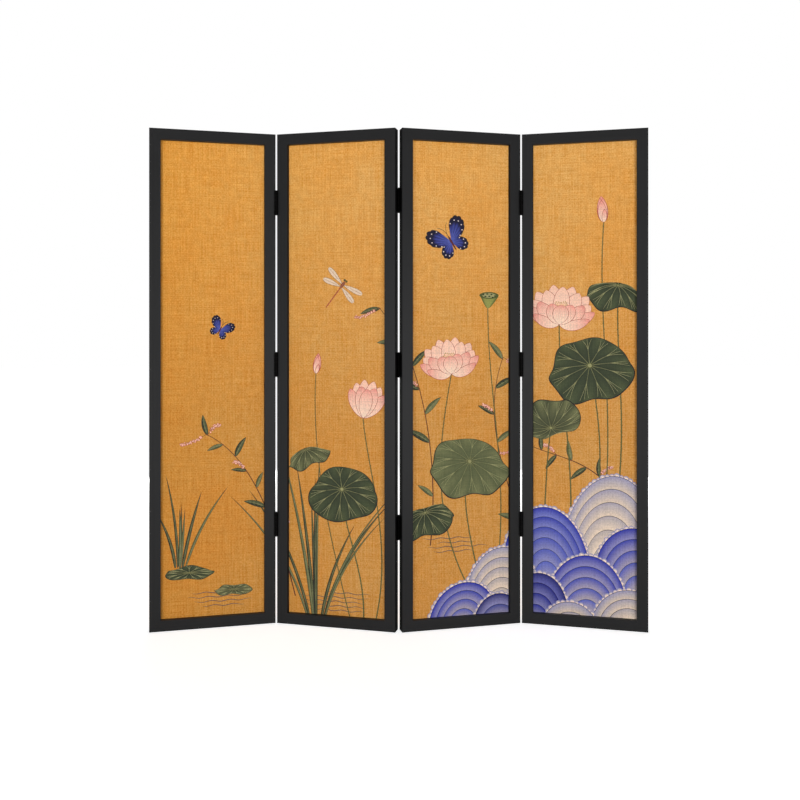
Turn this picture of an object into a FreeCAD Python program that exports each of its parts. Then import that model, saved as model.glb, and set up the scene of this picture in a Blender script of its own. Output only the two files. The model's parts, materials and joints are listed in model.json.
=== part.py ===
import FreeCAD, Part
import math
import os

# A folding screen of four framed cloth panels, hinged edge to edge so that it stands in a zigzag.
#
# Units are millimetres. Each panel is drawn in its own frame: x runs along its width from the left
# edge seen from the front, y from its front face to its back, and z up from the floor. It is then
# turned and moved to its place in the standing screen. There the viewer is on the -Y side, +X is to
# the viewer's right and +Z is up, and the origin is on the floor under the middle of the screen.
#
# Folds are counted from the left. At the odd ones the panels lean away from the viewer and the hinge
# pins stand in front of the frames, and at the even ones they lean forward with the pins behind, so
# that the whole screen folds up into a flat stack.

Vector = FreeCAD.Vector

# The screen
PANEL_COUNT = 4
PANEL_ANGLE_DEG = 14.5

# One panel's frame
PANEL_WIDTH = 450.0
PANEL_HEIGHT = 1800.0
FRAME_DEPTH = 40.0
STILE_WIDTH = 40.0
RAIL_WIDTH = 40.0
EDGE_ROUND = 1.2
SIGHT_EDGE_ROUND = 0.8

# The rebate that takes the cloth-covered board from behind
SIGHT_DEPTH = 18.6
REBATE_WIDTH = 10.0

# The tenons on the rails and their mortises in the stiles
TENON_LENGTH = 28.0
TENON_THICKNESS = 12.0
TENON_SETBACK = 14.0
TENON_SHOULDER = 5.0
MORTISE_END_CLEARANCE = 0.5

# The board, the cloth on its two faces and the beads that hold it
BOARD_THICKNESS = 4.0
CLOTH_THICKNESS = 0.8
BOARD_CLEARANCE = 1.0
BEAD_DEPTH = 12.0
BEAD_ROUND = 4.0
BEAD_CLEARANCE = 0.2

# One hinge
HINGE_LENGTH = 89.0
LEAF_THICKNESS = 2.0
LEAF_REACH = 31.5
LEAF_CORNER_ROUND = 3.0
LEAF_GAP = 1.2
GAIN_DEPTH = 1.6
GAIN_CLEARANCE = 0.2
BARREL_RADIUS = 6.0
BARREL_CLEARANCE = 0.5
KNUCKLE_COUNT = 5
KNUCKLE_GAP = 0.3
KNUCKLE_CLEARANCE = 0.4
PIN_RADIUS = 3.0
PIN_CLEARANCE = 0.05
PIN_HEAD_RADIUS = 4.6
PIN_HEAD_HEIGHT = 1.2
PIN_HEAD_ROUND = 1.0

# Where the three hinges of a fold stand
LOWER_HINGE_HEIGHT = 366.0
MIDDLE_HINGE_HEIGHT = 953.0
UPPER_HINGE_DROP = 253.0

# The countersunk screws, three through each leaf
SCREW_LENGTH = 22.0
SCREW_SHANK_RADIUS = 2.0
SCREW_TIP_LENGTH = 5.0
SCREW_TIP_RADIUS = 0.3
SCREW_HEAD_RADIUS = 3.8
SCREW_HEAD_DEPTH = 1.6
SCREW_PITCH = 30.0
SCREW_MARGIN = 8.0
SCREW_STAGGER = 8.0
SCREW_CLEARANCE = 0.05
PILOT_END_CLEARANCE = 1.0
RECESS_LENGTH = 4.4
RECESS_WIDTH = 0.9
RECESS_DEPTH = 1.2

# How far a cutting solid runs past the face that it opens, and how near two places count as one
OVERRUN = 2.0
MATCH_TOLERANCE = 0.02

# Sizes that follow from those above
SIGHT_WIDTH = PANEL_WIDTH - 2 * STILE_WIDTH
SIGHT_HEIGHT = PANEL_HEIGHT - 2 * RAIL_WIDTH
REBATE_SPAN_X = SIGHT_WIDTH + 2 * REBATE_WIDTH
REBATE_SPAN_Z = SIGHT_HEIGHT + 2 * REBATE_WIDTH
REBATE_LEFT = STILE_WIDTH - REBATE_WIDTH
REBATE_FOOT = RAIL_WIDTH - REBATE_WIDTH
BOARD_FRONT = SIGHT_DEPTH + CLOTH_THICKNESS
BOARD_BACK = BOARD_FRONT + BOARD_THICKNESS
BEAD_FRONT = BOARD_BACK + CLOTH_THICKNESS
TENON_HEIGHT = REBATE_FOOT - 2 * TENON_SHOULDER
FOLD_GAP = 2 * (LEAF_THICKNESS - GAIN_DEPTH) + LEAF_GAP
PIN_SETOFF = BARREL_RADIUS + BARREL_CLEARANCE
KNUCKLE_PITCH = HINGE_LENGTH / KNUCKLE_COUNT
LEAF_FACE = LEAF_GAP / 2
HINGE_HEIGHTS = {
    "lower": LOWER_HINGE_HEIGHT,
    "middle": MIDDLE_HINGE_HEIGHT,
    "upper": PANEL_HEIGHT - UPPER_HINGE_DROP,
}
LEFT, RIGHT = "left", "right"


# Helpers

def box(size, corner):
    """A box of the size (x, y, z) with its lowest corner at the given point."""
    return Part.makeBox(*size, Vector(*corner))


def rounded(shape, radius, chosen):
    """The shape with the edges that the test chooses rounded to the radius."""
    edges = [edge for edge in shape.Edges if chosen(edge.BoundBox)]
    return shape.makeFillet(radius, edges)


def near(value, target):
    """Whether two coordinates are the same place."""
    return math.isclose(value, target, abs_tol=MATCH_TOLERANCE)


# The frame of one panel

def frame_blank():
    """The frame as if it were one piece, with its outer edges eased, its sight opening and its rebate."""
    blank = box((PANEL_WIDTH, FRAME_DEPTH, PANEL_HEIGHT), (0, 0, 0))
    blank = blank.makeFillet(EDGE_ROUND, blank.Edges)
    opening = box(
        (SIGHT_WIDTH, FRAME_DEPTH + 2 * OVERRUN, SIGHT_HEIGHT),
        (STILE_WIDTH, -OVERRUN, RAIL_WIDTH),
    )
    blank = blank.cut(opening)

    def on_sight_edge(bounds):
        inside_x = bounds.XMin > STILE_WIDTH - OVERRUN and bounds.XMax < PANEL_WIDTH - STILE_WIDTH + OVERRUN
        inside_z = bounds.ZMin > RAIL_WIDTH - OVERRUN and bounds.ZMax < PANEL_HEIGHT - RAIL_WIDTH + OVERRUN
        return inside_x and inside_z and near(bounds.YMax, 0)

    blank = rounded(blank, SIGHT_EDGE_ROUND, on_sight_edge)
    rebate = box(
        (REBATE_SPAN_X, FRAME_DEPTH - SIGHT_DEPTH + OVERRUN, REBATE_SPAN_Z),
        (REBATE_LEFT, SIGHT_DEPTH, REBATE_FOOT),
    )
    return blank.cut(rebate)


def tenon(side, level, end_clearance=0):
    """The tenon at one end of a rail, or the mortise for it when an end clearance is given."""
    length = TENON_LENGTH + end_clearance
    x = STILE_WIDTH - length if side == LEFT else PANEL_WIDTH - STILE_WIDTH
    z = TENON_SHOULDER if level == "bottom" else PANEL_HEIGHT - TENON_SHOULDER - TENON_HEIGHT
    return box((length, TENON_THICKNESS, TENON_HEIGHT), (x, TENON_SETBACK, z))


def rail(blank, level):
    """A rail between the stiles, with a tenon at each end."""
    z = -OVERRUN if level == "bottom" else PANEL_HEIGHT - RAIL_WIDTH
    zone = box((SIGHT_WIDTH, FRAME_DEPTH, RAIL_WIDTH + OVERRUN), (STILE_WIDTH, 0, z))
    return blank.common(zone).fuse([tenon(side, level) for side in (LEFT, RIGHT)]).removeSplitter()


def stile(blank, side, pins_in_front):
    """A stile with its two mortises and, where a fold is hinged on it, the leaves' recesses and the pilot holes."""
    x = -OVERRUN if side == LEFT else PANEL_WIDTH - STILE_WIDTH
    zone = box((STILE_WIDTH + OVERRUN, FRAME_DEPTH, PANEL_HEIGHT), (x, 0, 0))
    cutters = [tenon(side, level, MORTISE_END_CLEARANCE) for level in ("bottom", "top")]
    if pins_in_front is not None:
        cutters += on_each_hinge([gain()] + pilot_holes(), side, pins_in_front)
    return blank.common(zone).cut(cutters)


# The board, its cloth and its beads

def sheet_on_board(front, thickness):
    """A flat sheet as wide and high as the board, from the given depth back."""
    size = (REBATE_SPAN_X - 2 * BOARD_CLEARANCE, thickness, REBATE_SPAN_Z - 2 * BOARD_CLEARANCE)
    return box(size, (REBATE_LEFT + BOARD_CLEARANCE, front, REBATE_FOOT + BOARD_CLEARANCE))


def bead(corner_points):
    """A mitred bead from its four corners (x, z), the two on the rebate's wall first, rounded on its inner edge."""
    outline = Part.makePolygon([Vector(x, BEAD_FRONT, z) for x, z in corner_points + corner_points[:1]])
    strip = Part.Face(outline).extrude(Vector(0, BEAD_DEPTH, 0))
    inner = [Vector(x, BEAD_FRONT + BEAD_DEPTH, z) for x, z in corner_points[2:]]
    middle = (inner[0] + inner[1]) / 2
    edges = [edge for edge in strip.Edges if edge.CenterOfMass.distanceToPoint(middle) < MATCH_TOLERANCE]
    return strip.makeFillet(min(BEAD_ROUND, REBATE_WIDTH / 2), edges)


def back_beads():
    """The four beads that hold the board in its rebate."""
    left, foot = REBATE_LEFT + BEAD_CLEARANCE, REBATE_FOOT + BEAD_CLEARANCE
    right, head = PANEL_WIDTH - left, PANEL_HEIGHT - foot
    inner_left, inner_foot = STILE_WIDTH, RAIL_WIDTH
    inner_right, inner_head = PANEL_WIDTH - STILE_WIDTH, PANEL_HEIGHT - RAIL_WIDTH
    return [
        bead([(left, foot), (right, foot), (inner_right, inner_foot), (inner_left, inner_foot)]),
        bead([(right, foot), (right, head), (inner_right, inner_head), (inner_right, inner_foot)]),
        bead([(right, head), (left, head), (inner_left, inner_head), (inner_right, inner_head)]),
        bead([(left, head), (left, foot), (inner_left, inner_foot), (inner_left, inner_head)]),
    ]


# The hinges. Each piece is drawn for the left edge of a panel whose pins stand in front: the pin's
# axis is at the origin, the wood's edge is at x = FOLD_GAP / 2 and the leaf runs along +y.

def knuckle_span(index):
    """The height at which a knuckle starts and its length, counted from the hinge's lower end."""
    start = index * KNUCKLE_PITCH - HINGE_LENGTH / 2
    lower_gap = KNUCKLE_GAP / 2 if index > 0 else 0
    upper_gap = KNUCKLE_GAP / 2 if index < KNUCKLE_COUNT - 1 else 0
    return start + lower_gap, KNUCKLE_PITCH - lower_gap - upper_gap


def screw_places():
    """Depth and height of a leaf's three screws, the middle one nearer to the pin."""
    outer = LEAF_REACH - SCREW_MARGIN
    return [(outer, -SCREW_PITCH), (outer - SCREW_STAGGER, 0), (outer, SCREW_PITCH)]


def screw_outline(clearance):
    """A screw turned from its outline, grown by a clearance where it is used as a hole."""
    head = SCREW_HEAD_RADIUS + clearance
    shank = SCREW_SHANK_RADIUS + clearance
    profile = [
        (0, 0),
        (0, head),
        (SCREW_HEAD_DEPTH + clearance, shank),
        (SCREW_LENGTH - SCREW_TIP_LENGTH, shank),
        (SCREW_LENGTH, SCREW_TIP_RADIUS),
        (SCREW_LENGTH, 0),
    ]
    outline = Part.makePolygon([Vector(x, y, 0) for x, y in profile + profile[:1]])
    return Part.Face(outline).revolve(Vector(0, 0, 0), Vector(1, 0, 0), 360)


def screw():
    """A countersunk screw with a cross recess, its head flush at x = 0 and its point towards +x."""
    body = screw_outline(0)
    depth = RECESS_DEPTH + OVERRUN
    slots = [
        box((depth, height, width), (-OVERRUN, -height / 2, -width / 2))
        for height, width in ((RECESS_LENGTH, RECESS_WIDTH), (RECESS_WIDTH, RECESS_LENGTH))
    ]
    return body.cut(slots)


def placed(shape, y, z):
    """A copy of a screw or hole at its place on the leaf's inner face."""
    copy = shape.copy()
    copy.translate(Vector(LEAF_FACE, y, z))
    return copy


def screws():
    """The three screws of one leaf."""
    return [placed(screw(), y, z) for y, z in screw_places()]


def pilot_holes():
    """The three holes in the wood behind one leaf."""
    depth = SCREW_LENGTH - LEAF_THICKNESS + PILOT_END_CLEARANCE
    hole = Part.makeCylinder(
        SCREW_SHANK_RADIUS + SCREW_CLEARANCE,
        depth + OVERRUN,
        Vector(LEAF_THICKNESS - OVERRUN, 0, 0),
        Vector(1, 0, 0),
    )
    return [placed(hole, y, z) for y, z in screw_places()]


def gain():
    """The shallow recess in the stile's edge that a leaf lies in."""
    front, end = PIN_SETOFF - OVERRUN, LEAF_REACH + GAIN_CLEARANCE
    height = HINGE_LENGTH + 2 * GAIN_CLEARANCE
    recess = box((GAIN_DEPTH + OVERRUN, end - front, height), (FOLD_GAP / 2 - OVERRUN, front, -height / 2))
    return rounded(recess, LEAF_CORNER_ROUND, lambda b: near(b.YMin, end) and near(b.ZMin, b.ZMax))


def hinge_leaf(end_knuckles):
    """One leaf: its plate, its knuckles, the bore for the pin and the countersunk screw holes."""
    plate = box((LEAF_THICKNESS, LEAF_REACH, HINGE_LENGTH), (LEAF_FACE, 0, -HINGE_LENGTH / 2))
    plate = rounded(plate, LEAF_CORNER_ROUND, lambda b: near(b.YMin, LEAF_REACH) and near(b.ZMin, b.ZMax))
    own, other = [], []
    for index in range(KNUCKLE_COUNT):
        start, length = knuckle_span(index)
        if (index % 2 == 0) == end_knuckles:
            own.append(Part.makeCylinder(BARREL_RADIUS, length, Vector(0, 0, start)))
        else:
            room = BARREL_RADIUS + KNUCKLE_CLEARANCE
            low = start - KNUCKLE_GAP
            other.append(Part.makeCylinder(room, length + 2 * KNUCKLE_GAP, Vector(0, 0, low)))
    bore = Part.makeCylinder(
        PIN_RADIUS + PIN_CLEARANCE,
        HINGE_LENGTH + 2 * OVERRUN,
        Vector(0, 0, -HINGE_LENGTH / 2 - OVERRUN),
    )
    holes = [placed(screw_outline(SCREW_CLEARANCE), y, z) for y, z in screw_places()]
    return plate.cut(other).fuse(own).removeSplitter().cut([bore] + holes)


def hinge_pin():
    """A hinge pin with a domed head on each end of the barrel."""
    shaft = Part.makeCylinder(PIN_RADIUS, HINGE_LENGTH, Vector(0, 0, -HINGE_LENGTH / 2))
    head = Part.makeCylinder(PIN_HEAD_RADIUS, PIN_HEAD_HEIGHT, Vector(0, 0, HINGE_LENGTH / 2))
    top = HINGE_LENGTH / 2 + PIN_HEAD_HEIGHT
    head = rounded(head, PIN_HEAD_ROUND, lambda b: near(b.ZMin, top) and near(b.ZMax, top))
    foot = head.copy()
    foot.rotate(Vector(0, 0, 0), Vector(1, 0, 0), 180)
    return shaft.fuse([head, foot]).removeSplitter()


def on_edge(shape, side, pins_in_front, height):
    """A copy of a hinge piece, turned for one edge of a panel and moved to the pin's axis there."""
    copy = shape.copy()
    if side == RIGHT:
        copy.rotate(Vector(0, 0, 0), Vector(0, 1, 0), 180)
    if not pins_in_front:
        copy.rotate(Vector(0, 0, 0), Vector(1, 0, 0), 180)
    x, y = pin_place(side, pins_in_front)
    copy.translate(Vector(x, y, height))
    return copy


def on_each_hinge(shapes, side, pins_in_front):
    """Copies of the shapes at every hinge of one edge."""
    return [on_edge(shape, side, pins_in_front, z) for z in HINGE_HEIGHTS.values() for shape in shapes]


# The standing screen

def pins_in_front(fold):
    """Whether a fold's pins stand in front of the frames, which they do at every other fold."""
    return fold % 2 == 1


def pin_place(side, in_front):
    """Where a fold's pin axis lies beside a panel, in the panel's own x and y."""
    x = -FOLD_GAP / 2 if side == LEFT else PANEL_WIDTH + FOLD_GAP / 2
    y = -PIN_SETOFF if in_front else FRAME_DEPTH + PIN_SETOFF
    return x, y


def turned(point, angle):
    """A point (x, y) turned about the origin by an angle in degrees."""
    c, s = math.cos(math.radians(angle)), math.sin(math.radians(angle))
    return point[0] * c - point[1] * s, point[0] * s + point[1] * c


def panel_places():
    """Angle and origin of each panel, chained from fold to fold and centred over the floor origin."""
    angle, origin = PANEL_ANGLE_DEG, (0.0, 0.0)
    places = [(angle, origin)]
    for fold in range(1, PANEL_COUNT):
        near_pin = turned(pin_place(RIGHT, pins_in_front(fold)), angle)
        axis = (origin[0] + near_pin[0], origin[1] + near_pin[1])
        angle = -angle
        far_pin = turned(pin_place(LEFT, pins_in_front(fold)), angle)
        origin = (axis[0] - far_pin[0], axis[1] - far_pin[1])
        places.append((angle, origin))
    centres = []
    for angle, origin in places:
        for x in (EDGE_ROUND, PANEL_WIDTH - EDGE_ROUND):
            for y in (EDGE_ROUND, FRAME_DEPTH - EDGE_ROUND):
                dx, dy = turned((x, y), angle)
                centres.append((origin[0] + dx, origin[1] + dy))
    middle = [(min(c[i] for c in centres) + max(c[i] for c in centres)) / 2 for i in (0, 1)]
    return [(angle, (origin[0] - middle[0], origin[1] - middle[1])) for angle, origin in places]


def to_screen(shape, place):
    """A copy of a shape carried from a panel's frame to the screen's."""
    angle, origin = place
    motion = FreeCAD.Placement(
        Vector(origin[0], origin[1], 0),
        FreeCAD.Rotation(Vector(0, 0, 1), angle),
    )
    return shape.transformed(motion.toMatrix(), copy=True)


# The nodes

def panel_pieces(number):
    """The nodes of one panel, drawn in its own frame: name to list of solids."""
    blank = frame_blank()
    edges = {}
    if number > 1:
        edges[LEFT] = pins_in_front(number - 1)
    if number < PANEL_COUNT:
        edges[RIGHT] = pins_in_front(number)
    name = f"panel_{number}"
    pieces = {
        f"{name}_left_stile": [stile(blank, LEFT, edges.get(LEFT))],
        f"{name}_right_stile": [stile(blank, RIGHT, edges.get(RIGHT))],
        f"{name}_top_rail": [rail(blank, "top")],
        f"{name}_bottom_rail": [rail(blank, "bottom")],
        f"{name}_front_cloth": [sheet_on_board(SIGHT_DEPTH, CLOTH_THICKNESS)],
        f"{name}_core_board": [sheet_on_board(BOARD_FRONT, BOARD_THICKNESS)],
        f"{name}_back_cloth": [sheet_on_board(BOARD_BACK, CLOTH_THICKNESS)],
        f"{name}_back_beads": back_beads(),
        f"{name}_hinge_screws": [],
    }
    for side, in_front in edges.items():
        fold = number - 1 if side == LEFT else number
        leaf = hinge_leaf(end_knuckles=side == RIGHT)
        leaf_side = RIGHT if side == LEFT else LEFT
        for level, height in HINGE_HEIGHTS.items():
            node = f"fold_{fold}_{level}_hinge_{leaf_side}_leaf"
            pieces[node] = [on_edge(leaf, side, in_front, height)]
        pieces[f"{name}_hinge_screws"] += on_each_hinge(screws(), side, in_front)
        if side == RIGHT:
            pieces[f"fold_{fold}_hinge_pins"] = on_each_hinge([hinge_pin()], side, in_front)
    return pieces


def main():
    """Writes one STEP file for each node."""
    os.makedirs("parts", exist_ok=True)
    for number, place in enumerate(panel_places(), start=1):
        for node, solids in panel_pieces(number).items():
            moved = [to_screen(solid, place) for solid in solids]
            shape = moved[0] if len(moved) == 1 else Part.makeCompound(moved)
            shape.exportStep(os.path.join("parts", f"{node}.step"))


if __name__ == "__main__":
    main()
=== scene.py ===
"""Dresses the folding screen: lacquered frames, painted silk, black hinges, and the studio around them."""

import json
import logging
from dataclasses import dataclass, field
from enum import Enum
from math import comb, cos, pi, radians, sin

import bpy
import numpy as np
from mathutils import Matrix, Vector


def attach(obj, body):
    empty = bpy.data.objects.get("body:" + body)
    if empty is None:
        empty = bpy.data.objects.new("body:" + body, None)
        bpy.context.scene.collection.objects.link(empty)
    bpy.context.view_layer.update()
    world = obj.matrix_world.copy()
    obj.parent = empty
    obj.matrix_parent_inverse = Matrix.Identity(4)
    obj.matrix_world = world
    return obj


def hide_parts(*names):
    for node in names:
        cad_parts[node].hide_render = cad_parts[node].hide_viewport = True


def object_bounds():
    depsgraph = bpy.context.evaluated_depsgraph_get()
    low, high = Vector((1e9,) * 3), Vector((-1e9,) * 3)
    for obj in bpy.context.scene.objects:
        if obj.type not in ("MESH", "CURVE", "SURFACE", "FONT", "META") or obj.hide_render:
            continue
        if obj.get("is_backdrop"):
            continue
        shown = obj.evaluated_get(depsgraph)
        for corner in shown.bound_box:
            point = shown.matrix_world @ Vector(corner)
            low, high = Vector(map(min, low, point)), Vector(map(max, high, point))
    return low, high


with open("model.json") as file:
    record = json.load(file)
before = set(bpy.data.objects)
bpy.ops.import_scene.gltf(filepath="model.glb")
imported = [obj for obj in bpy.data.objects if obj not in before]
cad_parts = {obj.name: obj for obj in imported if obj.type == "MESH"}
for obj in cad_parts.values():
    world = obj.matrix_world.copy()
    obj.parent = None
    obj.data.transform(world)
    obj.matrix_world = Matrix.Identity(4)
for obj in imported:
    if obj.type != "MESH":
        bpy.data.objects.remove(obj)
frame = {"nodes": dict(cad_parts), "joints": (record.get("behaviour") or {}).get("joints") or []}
CAD_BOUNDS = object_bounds()
MM = 0.001
log = logging.getLogger("folding_screen")

Array = np.ndarray
Pair = tuple[float, float]
Object = bpy.types.Object
Material = bpy.types.Material
Socket = bpy.types.NodeSocket


# Colours

def pigment(red: int, green: int, blue: int, cover: float = 1.0) -> tuple[float, ...]:
    """A paint from its display values out of 255, made linear, and how much it covers what is under it."""
    shares = np.array([red, green, blue]) / 255
    linear = np.where(shares <= 0.04045, shares / 12.92, ((shares + 0.055) / 1.055) ** 2.4)
    return (*linear.tolist(), cover)


def mixed(first: Array, second: Array, share: Array) -> Array:
    """Two paints mixed by an array of shares of the second, giving a paint at each point of the array."""
    first, second = np.asarray(first), np.asarray(second)
    return first + (second - first) * np.clip(share, 0, 1)[..., None]


class Paint:
    """The painter's palette."""

    CREAM = pigment(250, 226, 200)
    BLUSH = pigment(243, 190, 166)
    ROSE = pigment(226, 120, 110)
    ROSE_LINE = pigment(176, 74, 66)
    POLLEN = pigment(214, 160, 56)
    POD = pigment(142, 146, 78)
    POD_DARK = pigment(74, 82, 44)
    LEAF_DEEP = pigment(42, 49, 38)
    LEAF = pigment(76, 84, 57)
    LEAF_LIGHT = pigment(116, 118, 80)
    LEAF_BACK = pigment(150, 143, 100)
    VEIN = pigment(152, 150, 104)
    STEM = pigment(98, 100, 60)
    BARK = pigment(92, 42, 36)
    BARK_LIGHT = pigment(146, 84, 64)
    INK = pigment(32, 26, 30)
    NIGHT = pigment(22, 20, 42)
    ULTRAMARINE = pigment(40, 50, 162)
    DEEP_BLUE = pigment(28, 32, 104)
    SKY_BLUE = pigment(98, 110, 196)
    LAVENDER = pigment(152, 150, 182)
    MIST = pigment(196, 180, 160)
    WING = pigment(232, 220, 204, 0.7)
    RIPPLE = pigment(96, 84, 84, 0.95)


class Water(Enum):
    """The paints of a wave: its crest, its middle and its pale edges."""

    PEARL = (Paint.LAVENDER, Paint.MIST, Paint.CREAM)
    BLUE = (Paint.ULTRAMARINE, Paint.SKY_BLUE, Paint.MIST)
    BRIGHT = (Paint.ULTRAMARINE, Paint.SKY_BLUE, Paint.LAVENDER)
    SLATE = (Paint.DEEP_BLUE, Paint.SKY_BLUE, Paint.MIST)
    DEEP = (Paint.DEEP_BLUE, Paint.ULTRAMARINE, Paint.LAVENDER)


# The frame's panels

@dataclass
class Panel:
    """One panel of the standing screen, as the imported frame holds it.

    Its own coordinates are metres to the right from its left edge, back from its front face, and up.
    """

    number: int

    def __post_init__(self) -> None:
        """Finds the panel's directions from the folds, and its origin and size from its stiles."""
        lean = radians(-frame["joints"][0]["range_deg"][0]) / 2
        self.turn = lean if self.number % 2 else -lean
        across = [cos(self.turn), sin(self.turn), 0]
        back = [-sin(self.turn), cos(self.turn), 0]
        self.axes = np.array([across, back, [0, 0, 1]])
        self.origin = np.zeros(3)
        low, high = self.extent("left_stile", "right_stile")
        self.origin = low @ self.axes
        self.size = high - low

    def name(self, piece: str) -> str:
        """The full name of one of the panel's pieces."""
        return f"{self.body}_{piece}"

    def extent(self, *pieces: str) -> tuple[Array, Array]:
        """The lowest and highest corner of some CAD nodes, in the panel's own coordinates."""
        places = []
        for piece in pieces:
            vertices = frame["nodes"][self.name(piece)].data.vertices
            points = np.empty(len(vertices) * 3)
            vertices.foreach_get("co", points)
            places.append((points.reshape(-1, 3) - self.origin) @ self.axes.T)
        together = np.concatenate(places)
        return together.min(0), together.max(0)

    def placed(self, *places: Array) -> Array:
        """Places across, back and up in the panel, as points of the shared frame."""
        return self.origin + np.stack(places, -1) @ self.axes

    @property
    def body(self) -> str:
        """The body that the panel's pieces ride on."""
        return f"panel_{self.number}"


# Meshes

def new_piece(name: str, points: Array, faces: Array) -> Object:
    """Makes a smooth object of a mesh that holds its own place.

    Args:
        name: the piece's name.
        points: places of the vertices, one row each.
        faces: vertex numbers of the faces, one row each.

    Returns:
        The new object, linked to the scene.
    """
    mesh = bpy.data.meshes.new(name)
    mesh.from_pydata(points.tolist(), [], faces.tolist())
    mesh.polygons.foreach_set("use_smooth", np.ones(len(faces), bool))
    mesh.update()
    return linked(name, mesh)


def linked(name: str, data: bpy.types.ID) -> Object:
    """A new object of a mesh, a lamp or a camera, linked to the scene."""
    made = bpy.data.objects.new(name, data)
    bpy.context.scene.collection.objects.link(made)
    return made


def grid_faces(rows: int, columns: int) -> Array:
    """The faces between the points of a grid, four points each."""
    index = np.arange(rows * columns).reshape(rows, columns)
    corners = index[:-1, :-1], index[:-1, 1:], index[1:, 1:], index[1:, :-1]
    return np.stack(corners, -1).reshape(-1, 4)


def add_map(piece: Object, name: str, places: Array) -> None:
    """Gives a piece a UV map from a place for each of its vertices."""
    loops = np.empty(len(piece.data.loops), np.int32)
    piece.data.loops.foreach_get("vertex_index", loops)
    layer = piece.data.uv_layers.new(name=name)
    layer.data.foreach_set("uv", places[loops].astype(np.float32).ravel())


# Finishes

class Nodes:
    """The node tree of a material or a world, with short ways to add to it."""

    def __init__(self, owner: bpy.types.ID) -> None:
        """Empties the owner's tree."""
        owner.use_nodes = True
        self.owner = owner
        self.tree = owner.node_tree
        self.tree.nodes.clear()

    def add(self, kind: str, settings: dict | None = None, **inputs: object) -> bpy.types.Node:
        """Adds a node.

        Args:
            kind: the node's type without its Shader prefix.
            settings: properties of the node.
            inputs: a value or a linked socket for each input, with underscores for the spaces in its name.

        Returns:
            The new node.
        """
        node = self.tree.nodes.new("ShaderNode" + kind)
        for key, value in (settings or {}).items():
            setattr(node, key, value)
        for key, value in inputs.items():
            self.feed(node.inputs[key.replace("_", " ")], value)
        return node

    def feed(self, socket: Socket, value: object) -> None:
        """Links a socket to another, or sets its value."""
        if isinstance(value, Socket):
            self.tree.links.new(value, socket)
        else:
            socket.default_value = value

    def math(self, operation: str, *values: object, kind: str = "Math") -> Socket:
        """The value of a Math or a VectorMath node."""
        node = self.add(kind, {"operation": operation})
        for socket, value in zip(node.inputs, values):
            self.feed(socket, value)
        return node.outputs["Value"]

    def range(self, value: object, low: float, high: float, start: float = 0.0, end: float = 1.0) -> Socket:
        """A value moved from one range to another and kept inside it."""
        node = self.add("MapRange", Value=value, From_Min=low, From_Max=high, To_Min=start, To_Max=end)
        return node.outputs[0]

    def blend(self, share: object, first: object, second: object, way: str = "MIX") -> Socket:
        """The colour of a Mix node."""
        node = self.add("Mix", {"data_type": "RGBA", "blend_type": way})
        for index, value in zip((0, 6, 7), (share, first, second)):
            self.feed(node.inputs[index], value)
        return node.outputs[2]

    def noise(self, place: object, cell: tuple, turn: float = 0.0, detail: float = 2.0) -> Socket:
        """Noise whose cells are so many metres long on each axis, the axes turned about the vertical."""
        settings = {"vector_type": "TEXTURE"}
        mapping = self.add("Mapping", settings, Vector=place, Rotation=(0, 0, turn), Scale=cell)
        return self.add("TexNoise", Vector=mapping.outputs[0], Scale=1.0, Detail=detail).outputs[0]

    def join(self, kind: str, first: bpy.types.Node, second: bpy.types.Node, **inputs: object) -> Socket:
        """The shader that a node makes of two others, which are its last two inputs."""
        node = self.add(kind, **inputs)
        for socket, shader in zip(list(node.inputs)[-2:], (first, second)):
            self.feed(socket, shader.outputs[0])
        return node.outputs[0]

    def finish(self, **inputs: object) -> Material:
        """Adds the surface shader and the output."""
        shader = self.add("BsdfPrincipled", **inputs)
        self.add("OutputMaterial", Surface=shader.outputs[0])
        return self.owner


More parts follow.
